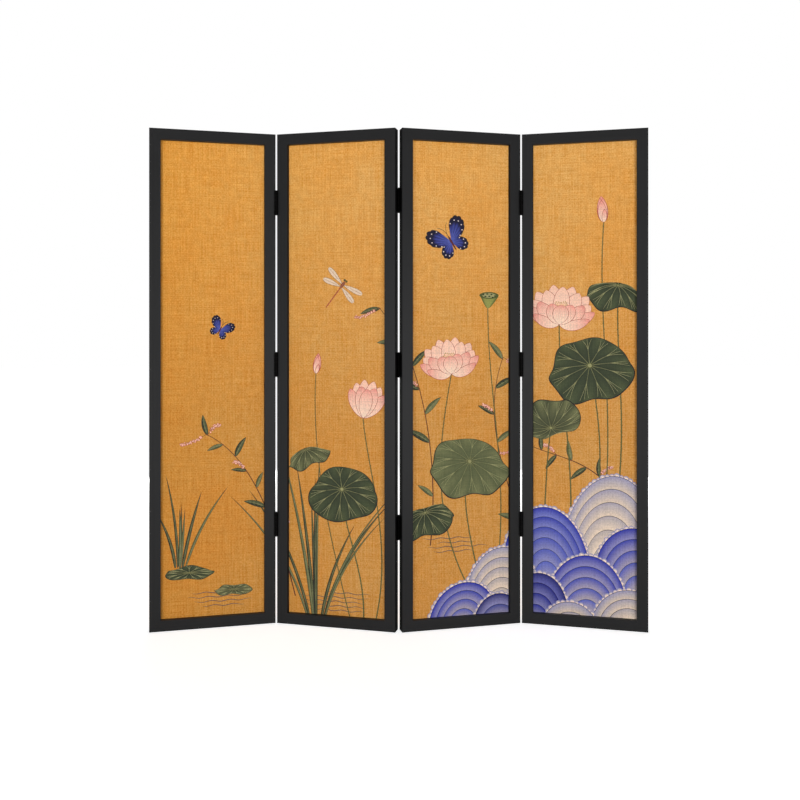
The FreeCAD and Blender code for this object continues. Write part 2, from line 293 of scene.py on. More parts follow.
@dataclass(frozen=True)
class Silk:
    """Plain-woven slubbed silk, gold where no paint covers it.

    slub and fine are the width, the length and the detail of its two sizes of thread.
    """

    name: str = "gold_silk"
    dark: tuple = pigment(203, 134, 41)
    light: tuple = pigment(228, 178, 103)
    warm: tuple = (1.02, 0.94, 0.80, 1.0)
    cool: tuple = (1.0, 1.03, 1.10, 1.0)
    left: tuple = (0.985, 0.88, 0.56, 1.0)
    right: tuple = (1.0, 1.0, 1.0, 1.0)
    # low and high tint the gold: darker towards the bottom of the cloth, lighter and bluer towards its top.
    low: tuple = (0.86, 0.82, 0.82, 1.0)
    high: tuple = (1.07, 1.08, 1.16, 1.0)
    slub: tuple = (3.4 * MM, 0.12, 2)
    slub_weight: float = 0.7
    fine: tuple = (1.8 * MM, 8 * MM, 1)
    contrast: Pair = (1.41, 1.99)
    thread: float = 1.1 * MM
    reed: float = 10.7 * MM
    reed_sway: float = 12.0
    reed_depth: float = 0.03
    relief: float = 0.12 * MM

    def crossed(self, nodes: Nodes, place: Socket, width: float, length: float, detail: int) -> Socket:
        """Noise drawn out into threads up and down, and across."""
        cells = (width, length, 1), (length, width, 1)
        return nodes.math("ADD", *(nodes.noise(place, cell, detail=detail) for cell in cells))

    def build(self) -> Material:
        """Mixes slubs and reed marks with slow changes of shade, darker towards the bottom, and lays the
        paint over them.
        """
        nodes = Nodes(bpy.data.materials.new(self.name))
        place = nodes.add("UVMap", {"uv_map": "weave"}).outputs[0]
        axes = nodes.add("SeparateXYZ", Vector=place).outputs
        slub, fine = (self.crossed(nodes, place, *size) for size in (self.slub, self.fine))
        threads = nodes.math("MULTIPLY_ADD", slub, self.slub_weight, fine)
        sway = nodes.math("MULTIPLY", nodes.noise(place, (0.05, 0.6, 1)), self.reed_sway)
        reeds = nodes.math("SINE", nodes.math("MULTIPLY_ADD", axes[0], 2 * pi / self.reed, sway))
        slubs = nodes.range(nodes.math("MULTIPLY_ADD", reeds, self.reed_depth, threads), *self.contrast)
        cloud = nodes.range(nodes.noise(place, (0.3, 0.4, 1), detail=4), 0.34, 0.66)
        patches = nodes.range(nodes.noise(place, (0.025, 0.03, 1)), 0.3, 0.7, 0.95, 1.05)
        gold = nodes.blend(1.0, nodes.blend(slubs, self.dark, self.light), patches, "MULTIPLY")
        for share, first, second in (
            (cloud, self.warm, self.cool),
            (nodes.range(axes[0], -1.0, -0.2), self.left, self.right),
            # Darker towards the bottom of the cloth, lighter and bluer towards its top.
            (nodes.range(axes[1], 0.75, 1.76), self.low, self.high),
        ):
            gold = nodes.blend(1.0, gold, nodes.blend(share, first, second), "MULTIPLY")
        paint = nodes.add("Attribute", {"attribute_name": "paint"})
        worn = nodes.range(slubs, 0, 1, 0.8, 1.16)
        worked = nodes.blend(1.0, paint.outputs["Color"], worn, "MULTIPLY")
        waves = [nodes.math("SINE", nodes.math("MULTIPLY", axes[k], 2 * pi / self.thread)) for k in (0, 1)]
        height = nodes.math("ADD", nodes.math("MULTIPLY", *waves), nodes.math("MULTIPLY", slubs, 1.5))
        bump = nodes.add("Bump", Height=height, Strength=0.42, Distance=self.relief)
        return nodes.finish(
            Base_Color=nodes.blend(paint.outputs["Alpha"], gold, worked),
            Roughness=0.75,
            Normal=bump.outputs[0],
            Specular_IOR_Level=0.2,
            Sheen_Weight=0.05,
            Sheen_Roughness=0.4,
        )


class Run(Enum):
    """Which way a frame member runs, as the size of a brush mark along the panel, across it and up."""

    UPRIGHT = (0.004, 0.004, 0.35)
    LEVEL = (0.35, 0.004, 0.004)


@dataclass(frozen=True)
class Lacquer:
    """Satin charcoal lacquer over wood, with faint brush marks along the member.

    outward is the way along the panel that a stile's outer side faces, -1 or 1. That side hardly shines.
    side is the share of a surface's facing along the panel at which it starts and ends turning matt.
    """

    run: Run
    turn: float
    outward: int = 0
    colour: tuple = pigment(15, 15, 16)
    lighter: tuple = pigment(21, 21, 22)
    side: Pair = (0.6, 0.9)
    side_roughness: float = 0.8
    shine: float = 0.16
    outer_shine: float = 0.03

    def build(self) -> Material:
        """Varies the shade and the gloss a little along the member, and leaves its side faces matt."""
        nodes = Nodes(bpy.data.materials.new(f"charcoal_lacquer_{self.run.name.lower()}"))
        coords = nodes.add("TexCoord").outputs
        place = coords["Object"]
        marks = nodes.noise(place, self.run.value, self.turn, 3)
        cloud = nodes.noise(place, (0.15, 0.15, 0.2), detail=3)
        peel = nodes.noise(place, (0.0025, 0.0025, 0.0025), detail=1)
        shade = nodes.range(nodes.math("ADD", marks, cloud), 0.7, 1.3)
        height = nodes.math("ADD", marks, nodes.math("MULTIPLY", peel, 0.3))
        bump = nodes.add("Bump", Height=height, Strength=0.2, Distance=0.2 * MM)
        along = (cos(self.turn), sin(self.turn), 0)
        across = nodes.math("DOT_PRODUCT", coords["Normal"], along, kind="VectorMath")
        side = nodes.range(nodes.math("ABSOLUTE", across), *self.side)
        gloss = nodes.range(shade, 0, 1, 0.4, 0.46)
        shine = self.shine
        if self.outward:
            outer = nodes.math("MULTIPLY", across, self.outward)
            shine = nodes.range(outer, *self.side, self.shine, self.outer_shine)
        return nodes.finish(
            Base_Color=nodes.blend(shade, self.colour, self.lighter),
            Roughness=nodes.math("MAXIMUM", gloss, nodes.math("MULTIPLY", side, self.side_roughness)),
            Normal=bump.outputs[0],
            Specular_IOR_Level=shine,
        )


@dataclass(frozen=True)
class BlackSteel:
    """Black enamelled steel, as on the hinges, screws and brads."""

    colour: tuple = pigment(2, 2, 2)
    rubbed: tuple = pigment(8, 8, 9)

    def build(self) -> Material:
        """Speckles the enamel, and rubs it a little where it is handled."""
        nodes = Nodes(bpy.data.materials.new("black_steel"))
        place = nodes.add("TexCoord").outputs["Object"]
        speck = nodes.noise(place, (0.0014, 0.0014, 0.0014))
        rub = nodes.range(nodes.noise(place, (0.015, 0.015, 0.04), detail=3), 0.5, 0.75)
        bump = nodes.add("Bump", Height=speck, Strength=0.2, Distance=0.1 * MM)
        return nodes.finish(
            Base_Color=nodes.blend(rub, self.colour, self.rubbed),
            Roughness=nodes.range(speck, 0.3, 0.7, 0.42, 0.6),
            Normal=bump.outputs[0],
            Specular_IOR_Level=0.03,
        )


@dataclass(frozen=True)
class Plywood:
    """The pale core board, of which only the edges could ever be seen."""

    early: tuple = pigment(206, 176, 130)
    late: tuple = pigment(180, 146, 98)

    def build(self) -> Material:
        """Runs the grain up the board."""
        nodes = Nodes(bpy.data.materials.new("pale_plywood"))
        place = nodes.add("TexCoord").outputs["Object"]
        grain = nodes.noise(place, (0.008, 0.008, 0.4), detail=4)
        return nodes.finish(Base_Color=nodes.blend(grain, self.early, self.late), Roughness=0.75)


# The picture's strokes

@dataclass
class Patch:
    """One or more painted shapes of one form: a grid of places on the picture, with a paint at each.

    The places are metres to the right and up on the picture. rise says how near the viewer each is, in
    layers of paint, for a shape that folds over itself.
    """

    points: Array
    paints: Array
    rise: Array | float = 0.0

    def __post_init__(self) -> None:
        """Gives every patch the same form: shapes, rows, columns, then values."""
        self.points = self.points.reshape(-1, *self.points.shape[-3:])
        self.paints = np.broadcast_to(self.paints, (*self.points.shape[:-1], 4))
        self.rise = np.broadcast_to(self.rise, self.points.shape[:-1])


def heading(angle: float) -> tuple[Array, Array]:
    """The unit vectors along a heading, in degrees to the right of straight up, and to the right of it."""
    along = np.array([sin(radians(angle)), cos(radians(angle))])
    return along, np.array([along[1], -along[0]])


def curve(*controls: Pair) -> Array:
    """The Bezier curve of some control points, as points about 8 mm apart.

    Each point is the sum of the controls, the k-th of n weighted by C(n, k) t^k (1 - t)^(n - k).
    """
    reach = np.linalg.norm(np.diff(np.array(controls), axis=0), axis=1).sum()
    t = np.linspace(0, 1, int(reach / 0.008) + 8)[:, None]
    degree = len(controls) - 1
    weights = [comb(degree, k) * t**k * (1 - t) ** (degree - k) for k in range(degree + 1)]
    return sum(weight * np.array(control) for weight, control in zip(weights, controls))


def normals(path: Array) -> Array:
    """The unit vectors to the right of a path, or of several at once."""
    along = np.gradient(path, axis=-2)
    along /= np.maximum(np.linalg.norm(along, axis=-1, keepdims=True), 1e-9)
    return np.stack([along[..., 1], -along[..., 0]], -1)


def stroke(path: Array, width: Array | float, body: tuple, rim: tuple | None = None) -> Patch:
    """A brush stroke: each point of the path moved sideways by shares of half the width.

    Args:
        path: points of one path, or of several that share a layer.
        width: the stroke's width, at each point or all along.
        body: the paint in the middle.
        rim: the paint along the two sides, if another.

    Returns:
        The stroke as a patch.
    """
    half = np.broadcast_to(np.asarray(width) / 2, path.shape[:-1])[..., None]
    shares = np.array([-1, -0.55, 0, 0.55, 1])
    points = path[..., None, :] + (half * shares)[..., None] * normals(path)[..., None, :]
    return Patch(points, np.array([rim or body, body, body, body, rim or body]))


def taper(count: int, thick: float, thin: float) -> Array:
    """Widths that go evenly from thick to thin along a path."""
    return thin + (thick - thin) * (1 - np.linspace(0, 1, count))


def ovals(centres: Array, radii: Array | float, middle: tuple, rim: tuple, steps: int = 11) -> Patch:
    """Dots: each point lies at a share of the radii from the centre, at one turn of the circle."""
    centres = np.asarray(centres, float).reshape(-1, 1, 1, 2)
    radii = np.broadcast_to(np.asarray(radii, float), (len(centres), 2)).reshape(-1, 1, 1, 2)
    turns = np.linspace(0, 2 * pi, steps)
    ring = np.stack([np.cos(turns), np.sin(turns)], -1)
    reach = np.array([0, 0.66, 0.74, 1])[:, None, None]
    return Patch(centres + radii * reach * ring, np.array([middle, middle, rim, rim])[:, None])


@dataclass(frozen=True)
class PetalWash:
    """A petal's paint: pale at the foot, rosy at the tip, with fine ribs that meet at both ends."""

    tip: tuple = Paint.ROSE
    fade: float = 2.6
    ribbing: float = 0.45
    ribs: int = 4
    line: tuple = Paint.ROSE_LINE
    outline: float = 1.6 * MM

    def paints(self, u: Array, s: Array) -> Array:
        """The paint u of the way up and s of the half width to the right."""
        ribs = np.cos(s * pi * self.ribs) ** 4 * self.ribbing * np.sin(pi * u) ** 0.7
        return mixed(mixed(Paint.CREAM, self.tip, 0.85 * u**self.fade), Paint.ROSE, ribs)


@dataclass(frozen=True)
class LeafWash:
    """A leaf's paint: one half darker than the other, slanting veins, and a pale midrib."""

    dark: tuple = Paint.LEAF_DEEP
    light: tuple = Paint.LEAF
    rib: tuple = Paint.VEIN
    line: tuple = Paint.INK
    veins: int = 6
    outline: float = 1.1 * MM

    def paints(self, u: Array, s: Array) -> Array:
        """The paint u of the way up and s of the half width to the right."""
        base = mixed(self.dark, self.light, 0.5 + 0.5 * np.tanh(3 * s) + 0.15 * np.sin(9 * u))
        slant = np.cos(pi * self.veins * (u - 0.12 * np.abs(s))) ** 8
        return mixed(base, self.rib, np.maximum(0.45 * slant * (1 - np.abs(s)), np.abs(s) < 0.09))


def blade(
    foot: Array,
    angle: float,
    length: float,
    width: float,
    wash: PetalWash | LeafWash,
    bend: float,
    belly: float,
    point: float,
) -> Patch:
    """A petal or leaf on a parabola, its half width u^a (1 - u)^b of its length u, widest at a / (a + b).

    Args:
        foot: where it grows from.
        angle: degrees that it leans to the right of straight up.
        length: from foot to tip.
        width: at its widest.
        wash: how it is painted.
        bend: how far the tip swings to the right, as a share of the length.
        belly: where it is widest, as a share of the length.
        point: b, small for a blunt tip and large for a drawn-out one.

    Returns:
        The shape as a patch whose outer columns are its outline.
    """
    u = (1 - np.cos(np.linspace(0, pi, max(18, int(length / 0.006))))) / 2
    half = u ** (point * belly / (1 - belly)) * (1 - u) ** point
    half *= width / 2 / half.max()
    up, right = heading(angle)
    path = np.array(foot) + length * (u[:, None] * up + bend * u[:, None] ** 2 * right)
    s = np.linspace(-1, 1, 17)
    inner = np.maximum(half - wash.outline, 0)[:, None]
    offsets = np.concatenate([-half[:, None], -inner, inner * s, inner, half[:, None]], 1)
    points = path[:, None] + offsets[..., None] * normals(path)[:, None]
    across, along = np.meshgrid(s, u)
    edge = np.broadcast_to(wash.line, (len(u), 2, 4))
    return Patch(points, np.concatenate([edge, wash.paints(along, across), edge], 1))


# The picture's motifs

@dataclass
class Motif:
    """Something painted at a place, of a size, and turned by degrees to the right of straight up.

    Its patches come in the order they are painted. A tuple of patches shares one layer.
    """

    place: Pair
    size: float
    turn: float = 0.0

    def __post_init__(self) -> None:
        """Finds the motif's own ways up and to the right."""
        self.up, self.right = heading(self.turn)

    def at(self, right: Array | float, up: Array | float) -> Array:
        """Places that lie shares of the size to the right of the motif's own and up from it."""
        ways = np.multiply.outer(right, self.right) + np.multiply.outer(up, self.up)
        return np.array(self.place) + self.size * ways

    def blade(self, angle: float, length: float, width: float, *form: object, foot: float = 0.0) -> Patch:
        """A blade in shares of the motif's size, from so far up it. form is blade's wash and last sizes."""
        return blade(self.at(0, foot), angle + self.turn, length * self.size, width * self.size, *form)


@dataclass
class LotusLeaf(Motif):
    """A round leaf on its stem: a shallow dome or bowl with a rippled rim, seen from a little above.

    Its surface is r R (cos t, sin t), at the height of -droop r^2 plus a ripple r^3 cos(waves t), tipped by
    the height of the eye and turned on the picture. Where it shows its back, it is painted paler.
    """

    eye: float = 45.0
    droop: float = 0.25
    ripple: float = 0.07
    waves: int = 5
    phase: float = 0.0
    veins: int = 13
    deep: tuple = Paint.LEAF_DEEP
    pale: tuple = Paint.LEAF

    def surface(self, r: Array, t: Array) -> tuple[Array, Array]:
        """Places on the picture and nearness to the viewer, for shares of the radius and turns."""
        reach = r * (1 + 0.05 * np.cos(3 * t + self.phase) + 0.03 * np.cos(7 * t + 2 * self.phase))
        height = -self.droop * r**2 + self.ripple * r**3 * np.cos(self.waves * t + self.phase)
        x, y, tip = reach * np.cos(t), reach * np.sin(t), radians(self.eye)
        up = y * sin(tip) + height * cos(tip)
        return self.at(x, up), height * sin(tip) - y * cos(tip)

    def patches(self) -> list[tuple[Patch, ...]]:
        """The leaf, its veins and its inked rim, at heights that hide what it folds over."""
        r = np.concatenate([np.linspace(0, 0.975, 14), [0.98, 1]])
        turns, reaches = np.meshgrid(np.linspace(0, 2 * pi, 8 * self.veins + 1), r)
        points, near = self.surface(reaches, turns)
        bands = 0.5 + 0.5 * np.cos(self.veins * turns + pi * reaches)
        top = mixed(self.deep, self.pale, 0.25 + 0.75 * reaches**2 * bands + 0.2 * (reaches < 0.1))
        outward, around = np.gradient(points, axis=(0, 1))
        cross = outward[..., 0] * around[..., 1] - outward[..., 1] * around[..., 0]
        paints = np.where((cross < 0)[..., None], Paint.LEAF_BACK, top)
        paints[-2:] = Paint.INK
        lines = np.linspace(0, 2 * pi, self.veins, endpoint=False)[:, None] + 0.12
        along = np.linspace(0.05, 0.93, 16)
        fork = 0.55 * pi / self.veins * np.maximum(along - 0.5, 0) / 0.5
        paths, heights = self.surface(along, np.concatenate([lines + side * fork for side in (0, -1, 1)]))
        middle, level = self.surface(np.zeros(1), np.zeros(1))
        dish = self.size * np.array([0.07, 0.07 * sin(radians(self.eye)) + 0.01])
        layers = (
            (Patch(points, paints), near, 0.0),
            (stroke(paths, taper(16, 2.4 * MM, 0.9 * MM), Paint.VEIN), heights[..., None], 0.4),
            (ovals(middle, dish, Paint.VEIN, Paint.STEM), level[0], 0.8),
        )
        return [tuple(Patch(it.points, it.paints, 3 * (high + 1.2) + over) for it, high, over in layers)]


@dataclass
class Lotus(Motif):
    """A lotus flower in rings of petals that all grow from one point, the far rings painted first."""

    half_open: bool = False

    def ring(self, wash: PetalWash, angles: tuple, length: float, width: float, bend: float) -> list[Patch]:
        """Petals at some angles, the outer ones first, each a little longer or shorter than the next."""
        return [
            self.blade(angle, length + 0.02 * cos(angle), width, wash, -bend * angle / 90, 0.56, 0.62)
            for angle in sorted(angles, key=lambda angle: -abs(angle))
        ]

    def heart(self) -> list[Patch]:
        """The seed pod with its stamens, each stamen a short line to a dot of pollen."""
        middle = self.at(0, 0.25)
        turns = np.linspace(-0.2 * pi, 1.2 * pi, 26)[:, None]
        reach = self.size * (0.15 + 0.02 * np.sin(7 * turns))
        tips = middle + reach * np.concatenate([np.cos(turns), 0.72 * np.sin(turns)], 1)
        paths = np.linspace(np.broadcast_to(middle, tips.shape), tips, 6, axis=1)
        seeds = middle + self.size * np.array([[-0.04, 0], [0, 0.015], [0.04, 0], [0, -0.02]])
        return [
            stroke(paths, 1.3 * MM, Paint.POLLEN),
            ovals(tips, 2.0 * MM, Paint.POLLEN, Paint.BARK_LIGHT),
            ovals(middle, self.size * np.array([0.085, 0.05]), Paint.POD, Paint.POD_DARK),
            ovals(seeds, 1.8 * MM, Paint.POLLEN, Paint.POD_DARK),
        ]

    def patches(self) -> list[Patch]:
        """The far petals, the heart if it shows, and the near petals: the angles and sizes of each ring."""
        far = (((-48, -17, 17, 48), 0.64, 0.25, 0.25), ((-66, -33, 0, 33, 66), 0.58, 0.26, 0.3))
        near = (
            ((-88, 88), 0.52, 0.2, 0.42),
            ((-62, 62), 0.46, 0.23, 0.35),
            ((-104, 106), 0.4, 0.17, 0.5),
            ((-34, 36), 0.37, 0.24, 0.3),
            ((2,), 0.32, 0.26, 0),
        )
        if self.half_open:
            far = (((-24, 24), 0.92, 0.34, 0.2), ((-8, 8), 1.0, 0.34, 0.1))
            near = (((-44, 44), 0.8, 0.3, 0.35), ((-16, 17), 0.84, 0.36, 0.35), ((0,), 0.74, 0.36, 0))
        inside, outside = PetalWash(Paint.BLUSH, 1.6, 0.3), PetalWash()
        return [
            *(petal for ring in far for petal in self.ring(inside, *ring)),
            *(() if self.half_open else self.heart()),
            *(petal for ring in near for petal in self.ring(outside, *ring)),
        ]


@dataclass
class LotusBud(Motif):
    """A closed flower: overlapping petals drawn to one point."""

    def patches(self) -> list[Patch]:
        """The petals, the far ones first: the angle, length, width and bend of each."""
        wash = PetalWash(fade=1.7)
        petals = (
            (0, 1.0, 0.42, 0),
            (-9, 0.93, 0.3, 0.1),
            (9, 0.93, 0.3, -0.1),
            (-3, 0.84, 0.34, 0.04),
            (14, 0.5, 0.2, -0.1),
        )
        return [self.blade(*sizes, wash, bend, 0.42, 0.75) for *sizes, bend in petals]


@dataclass
class SeedPod(Motif):
    """A ripe pod: a cone that widens to a flat top with seeds in it."""

    def patches(self) -> list[Patch]:
        """The cone, its top and its seeds."""
        u = np.linspace(0, 1, 10)
        path = self.at(0, 0.62 * u)
        across = [-0.3, -0.1, 0.12, 0.31, -0.18, 0.02, 0.2]
        seeds = self.at(across, [0.63, 0.68, 0.68, 0.63, 0.55, 0.58, 0.55])
        return [
            stroke(path, self.size * (0.12 + 0.86 * u**0.8), Paint.POD, Paint.POD_DARK),
            ovals(path[-1], self.size * np.array([0.5, 0.17]), Paint.VEIN, Paint.POD_DARK, 21),
            ovals(seeds, self.size * np.array([0.06, 0.035]), Paint.LEAF_DEEP, Paint.POD_DARK),
        ]


@dataclass
class Stem:
    """A long thorny stem along a curve."""

    controls: tuple[Pair, ...]
    thick: float = 5.5 * MM
    thin: float = 4.0 * MM

    def patches(self) -> list[Patch]:
        """The thorns, as dots on either side in turn, and the stem."""
        path = curve(*self.controls)
        at = np.arange(3, len(path) - 2, 3)
        flip = np.where(np.arange(len(at)) % 2, 1, -1)[:, None]
        thorns = path[at] + flip * normals(path)[at] * self.thick * 0.5
        return [
            ovals(thorns, 1.3 * MM, Paint.INK, Paint.INK, 7),
            stroke(path, taper(len(path), self.thick, self.thin), Paint.STEM, Paint.LEAF_DEEP),
        ]


@dataclass
class Sedge:
    """A tuft of long arching blades."""

    foot: Pair
    height: float
    count: int
    sweep: float
    lean: float
    seed: int

    def patches(self) -> list[Patch]:
        """The blades, each with its own height, lean and bend."""
        rng = np.random.default_rng(self.seed)
        washes = (LeafWash(), LeafWash(Paint.LEAF, Paint.LEAF_LIGHT, line=Paint.LEAF_DEEP))
        blades = []
        for index in range(self.count):
            side = 2 * rng.random() - 1
            foot = (self.foot[0] + 0.03 * side, self.foot[1])
            length = self.height * (0.5 + 0.5 * rng.random())
            width = (8 + 5 * rng.random()) * MM
            angle = self.lean + 0.6 * self.sweep * side
            blades.append(blade(foot, angle, length, width, washes[index % 2], 0.35 * side, 0.3, 0.8))
        return blades


@dataclass
class Knotweed:
    """A jointed brown stalk with narrow leaves and drooping spikes of pink grains."""

    controls: tuple[Pair, ...]
    leaves: int
    leaf: float
    seed: int

    def spike(self, foot: Array, reach: Pair, rng: np.random.Generator) -> list[Patch]:
        """One spike: a thin thread that arches over, with grains along it."""
        thread = curve(foot, foot + np.array(reach) * (0.6, 1.1), foot + np.array(reach))
        grains = np.repeat(thread[3:], 3, axis=0) + rng.normal(0, 2.4 * MM, (3 * len(thread[3:]), 2))
        sizes = (2.5 + 1.5 * rng.random((len(grains), 1))) * MM
        return [
            stroke(thread, 1.6 * MM, Paint.BARK),
            ovals(grains, sizes, Paint.BLUSH, Paint.ROSE_LINE, 9),
            ovals(grains[::3] + 0.5 * MM, sizes[::3] * 0.8, Paint.CREAM, Paint.ROSE, 9),
        ]

    def patches(self) -> list[Patch]:
        """The stalk, its leaves on alternate sides, and a spike at its end and at some joints."""
        rng = np.random.default_rng(self.seed)
        path = curve(*self.controls)
        at = np.linspace(len(path) * 0.18, len(path) - 2, self.leaves).astype(int)
        joints, along = path[at], np.gradient(path, axis=0)[at]
        angles = np.degrees(np.arctan2(along[:, 0], along[:, 1]))
        growth = []
        for index, (joint, angle) in enumerate(zip(joints, angles)):
            side = 1 if index % 2 else -1
            wash = LeafWash() if index % 3 else LeafWash(Paint.LEAF, Paint.LEAF_LIGHT)
            length = self.leaf * (0.8 + 0.4 * rng.random())
            angle += side * (38 + 22 * rng.random())
            growth.append(blade(joint, angle, length, 0.26 * length, wash, 0.18 * side, 0.42, 0.9))
            if index % 3 == 1:
                growth.extend(self.spike(joint, (side * 0.045, 0.035), rng))
        stalk = stroke(path, taper(len(path), 4.2 * MM, 2.0 * MM), Paint.BARK, Paint.INK)
        knots = ovals(joints, 2.8 * MM, Paint.BARK_LIGHT, Paint.BARK, 9)
        way = 1 if along[-1, 0] > 0 else -1
        return [stalk, *growth, knots, *self.spike(path[-1], (way * 0.09, -0.035), rng)]


@dataclass
class Swell:
    """A rounded wave of nested ribbons, with pearls of foam behind its crest.

    Ribbon after ribbon, a point lies rho out from the middle of the base at the turn phi: across by
    rho w cos(phi) and up by rho h sin(phi)^0.8, sheared to one side as it rises.
    """

    middle: Pair
    width: float
    height: float
    shear: float
    water: Water
    ribbons: int
    pearl: float = 11 * MM

    def patches(self) -> list[Patch]:
        """The foam first, then the ribbons over its lower half."""
        ends = np.linspace(1, 0, self.ribbons + 1) ** 0.85
        out, into, ink = ends[:-1], ends[1:], 1.7 * MM / self.height
        rows = np.stack([out, out - ink, out - ink - 1e-4, into + 1e-4], 1).reshape(-1, 1)
        rows = np.maximum(rows, 0)
        share = np.linspace(0, 1, self.ribbons)
        crest, core, edge = self.water.value
        starts, finals = mixed(crest, core, share), mixed(core, edge, 0.35 + 0.65 * share)
        night = np.broadcast_to(Paint.NIGHT, starts.shape)
        paints = np.stack([night, night, starts, finals], 1).reshape(-1, 1, 4)
        phi = np.linspace(0, pi, 73)
        swing = 1 + 0.03 * np.sin(2 * phi + 20 * self.middle[0] + 2.5 * rows)
        across = rows * np.cos(phi) * self.width / 2 * swing
        up = rows * np.sin(phi) ** 0.8 * swing * self.height
        points = np.array(self.middle) + np.stack([across + self.shear * up, up], -1)
        return [*self.foam(points[0]), Patch(points, paints)]

    def foam(self, crest: Array) -> list[Patch]:
        """Pearls an equal way apart along the crest, each with a spiral curl."""
        reach = np.concatenate([[0], np.cumsum(np.linalg.norm(np.diff(crest, axis=0), axis=1))])
        count = int(reach[-1] / (1.5 * self.pearl)) + 1
        at = np.linspace(0, reach[-1], count)
        centres = np.stack([np.interp(at, reach, crest[:, k]) for k in (0, 1)], -1)
        sizes = self.pearl * (0.86 + 0.2 * np.cos(2.4 * np.arange(count)))[:, None]
        turns = np.linspace(0.2 * pi, 2.3 * pi, 20)
        spiral = np.stack([np.cos(turns), np.sin(turns)], -1) * np.linspace(0.62, 0.2, 20)[:, None]
        curls = centres[:, None] + sizes[:, None] * spiral
        halves = slice(0, None, 2), slice(1, None, 2)
        pearls = [ovals(centres[half], sizes[half], Paint.CREAM, Paint.LAVENDER, 17) for half in halves]
        return [*pearls, stroke(curls, taper(20, 1.5 * MM, 0.8 * MM), Paint.LAVENDER)]


@dataclass
class Ripples:
    """Level wavy lines on still water, each y = a sin(kx) faded out at its ends."""

    middle: Pair
    width: float
    rows: int
    seed: int

    def patches(self) -> list[Patch]:
        """The lines, shorter and shorter away from the middle row."""
        rng = np.random.default_rng(self.seed)
        level = np.arange(self.rows) - (self.rows - 1) / 2
        shift = rng.uniform(-0.12, 0.12, self.rows) * self.width
        length = self.width * (1 - 0.25 * np.abs(level) / self.rows * 2) * rng.uniform(0.6, 1, self.rows)
        t = np.linspace(-0.5, 0.5, 60)
        x = self.middle[0] + shift[:, None] + length[:, None] * t
        z = self.middle[1] + 0.016 * level[:, None] + 2.4 * MM * np.sin(x * 95 + level[:, None])
        return [stroke(np.stack([x, z], -1), 2.9 * MM * np.cos(pi * t) ** 0.5 + 0.1 * MM, Paint.RIPPLE)]


@dataclass
class Butterfly(Motif):
    """A dark butterfly seen from above with its wings spread."""

    def wing(
        self, side: int, start: float, sweep: float, reach: float, slope: float, cells: int,
    ) -> list[Patch]:
        """One wing with its pale spots.

        It is a fan round the body. At the share s of its sweep it reaches sin(pi (0.07 + 0.86 s))^0.45 far,
        more or less along its front edge, and a little less at the ends of its veins.

        Args:
            side: which side of the body, -1 or 1.
            start: degrees from the head to its front edge.
            sweep: degrees that it spans.
            reach: its length, as a share of the butterfly's size.
            slope: how much longer its front edge is than its rear edge.
            cells: how many cells its veins divide it into.

        Returns:
            The wing and its spots.
        """
        s = np.linspace(0, 1, 8 * cells + 1)
        rim = reach * np.sin(pi * (0.07 + 0.86 * s)) ** 0.45 * (1 + slope * (0.5 - s))
        rim *= 0.95 + 0.05 * np.abs(np.sin(pi * cells * s))
        angles = np.radians(side * (start + sweep * s))
        r = np.array([0, 0.2, 0.4, 0.6, 0.75, 0.94, 0.95, 1])[:, None]
        points = self.at(r * rim * np.sin(angles), r * rim * np.cos(angles))
        veins = np.abs(np.cos(pi * cells * s)) ** 10
        paints = mixed(Paint.SKY_BLUE, Paint.DEEP_BLUE, r**0.6 + 0 * s)
        paints = mixed(paints, Paint.NIGHT, 0.8 * veins + 1.0 * (r > 0.7))
        paints[-2:] = Paint.INK
        middles = slice(4, None, 8)
        spots = points[4, middles] + 0.32 * (points[5, middles] - points[4, middles])
        return [Patch(points, paints), ovals(spots, 0.017 * self.size, Paint.CREAM, Paint.LAVENDER)]

    def patches(self) -> list[Patch]:
        """Hind wings, fore wings, body and feelers."""
        wings = ((86, 78, 0.44, -0.25, 5), (22, 70, 0.64, 0.55, 6))
        shapes = [patch for shape in wings for side in (-1, 1) for patch in self.wing(side, *shape)]
        body = np.linspace(self.at(0, -0.24), self.at(0, 0.16), 9)
        thick = self.size * np.array([0.01, 0.03, 0.04, 0.045, 0.05, 0.06, 0.05, 0.045, 0.02])
        feelers = [curve(body[-1], self.at(0, 0.36), self.at(0.14 * side, 0.46)) for side in (-1, 1)]
        lines = [stroke(feeler, 1.4 * MM, Paint.INK) for feeler in feelers]
        return [*shapes, stroke(body, thick, Paint.BARK, Paint.INK), *lines]


@dataclass
class Dragonfly(Motif):
    """A dragonfly seen from above: four long clear wings and a jointed tail."""

    def patches(self) -> list[Patch]:
        """Wings, tail, chest and eyes."""
        wash = LeafWash(Paint.WING, Paint.WING, Paint.BARK_LIGHT, Paint.BARK, veins=7, outline=0.9 * MM)
        wings = [
            self.blade(side * angle, length, 0.13, wash, 0, 0.7, 0.4, foot=foot)
            for angle, length, foot in ((104, 0.5, -0.03), (78, 0.55, 0.03))
            for side in (-1, 1)
        ]
        tail = np.linspace(self.at(0, 0), self.at(0, -0.66), 16)
        chest = np.linspace(self.at(0, -0.07), self.at(0, 0.13), 8)
        joints = self.size * (0.026 + 0.008 * np.cos(np.linspace(0, 14 * pi, 16)))
        girth = self.size * 0.08 * np.sin(np.linspace(0.3, 2.9, 8))
        eyes = self.at([-0.028, 0.028], 0.15)
        return [
            *wings,
            stroke(tail, joints, Paint.ROSE_LINE, Paint.BARK),
            stroke(chest, girth, Paint.BARK_LIGHT, Paint.BARK),
            ovals(eyes, 0.028 * self.size, Paint.POD_DARK, Paint.INK),
        ]


